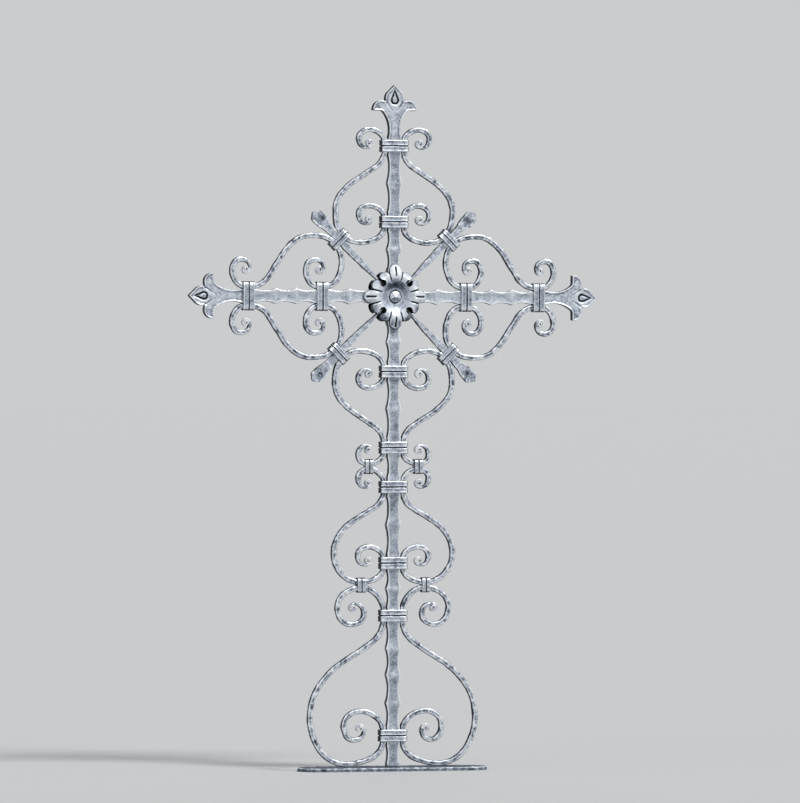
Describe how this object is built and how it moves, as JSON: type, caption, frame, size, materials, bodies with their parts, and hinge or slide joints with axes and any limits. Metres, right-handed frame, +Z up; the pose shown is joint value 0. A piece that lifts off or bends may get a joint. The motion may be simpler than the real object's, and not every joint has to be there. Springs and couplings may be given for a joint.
{
  "type": "wrought iron cross",
  "caption": "Wrought iron grave cross with scalloped bars, S-scrolls held by banded collars, a petalled rosette and lily finials, standing on a lobed base plate.",
  "frame": {"origin": "centre of the underside of the base plate", "axes": "+Z up along the upright, +X to the viewer's right along the crossbar, front of the cross and its viewer towards -Y"},
  "size_m": [0.742, 0.08, 1.2],
  "materials": {
    "bar_iron": "graphite paint rubbed with silver",
    "scroll_iron": "hammered, silver rubbed over graphite paint",
    "ornament_iron": "die forged, silver rubbed over graphite paint",
    "plate_iron": "hammered edges, graphite paint lightly rubbed"
  },
  "bodies": {
    "root": {"base_plate": "plate_iron", "upright": "bar_iron", "crossbar": "bar_iron", "finial_top": "ornament_iron", "finial_left": "ornament_iron", "finial_right": "ornament_iron", "ray_upper_left": "scroll_iron", "ray_upper_right": "scroll_iron", "ray_lower_left": "scroll_iron", "ray_lower_right": "scroll_iron", "rosette": "ornament_iron", "rosette_back": "ornament_iron", "rivet": "ornament_iron", "rivet_back": "ornament_iron", "scroll_top_left": "scroll_iron", "scroll_top_right": "scroll_iron", "scroll_left_upper": "scroll_iron", "scroll_left_lower": "scroll_iron", "scroll_right_upper": "scroll_iron", "scroll_right_lower": "scroll_iron", "scroll_bottom_left": "scroll_iron", "scroll_bottom_right": "scroll_iron", "scroll_waist_left": "scroll_iron", "scroll_waist_right": "scroll_iron", "scroll_foot_left": "scroll_iron", "scroll_foot_right": "scroll_iron", "collar_top_outer": "ornament_iron", "collar_top_inner": "ornament_iron", "collar_left_outer": "ornament_iron", "collar_left_inner": "ornament_iron", "collar_right_outer": "ornament_iron", "collar_right_inner": "ornament_iron", "collar_bottom_outer": "ornament_iron", "collar_bottom_inner": "ornament_iron", "collar_waist": "ornament_iron", "collar_lobe": "ornament_iron", "collar_foot": "ornament_iron", "collar_heel": "ornament_iron", "ray_collar_upper_left": "ornament_iron", "ray_collar_upper_right": "ornament_iron", "ray_collar_lower_left": "ornament_iron", "ray_collar_lower_right": "ornament_iron", "clip_upper_left": "ornament_iron", "clip_upper_right": "ornament_iron", "clip_lower_left": "ornament_iron", "clip_lower_right": "ornament_iron"}
  },
  "joints": []
}
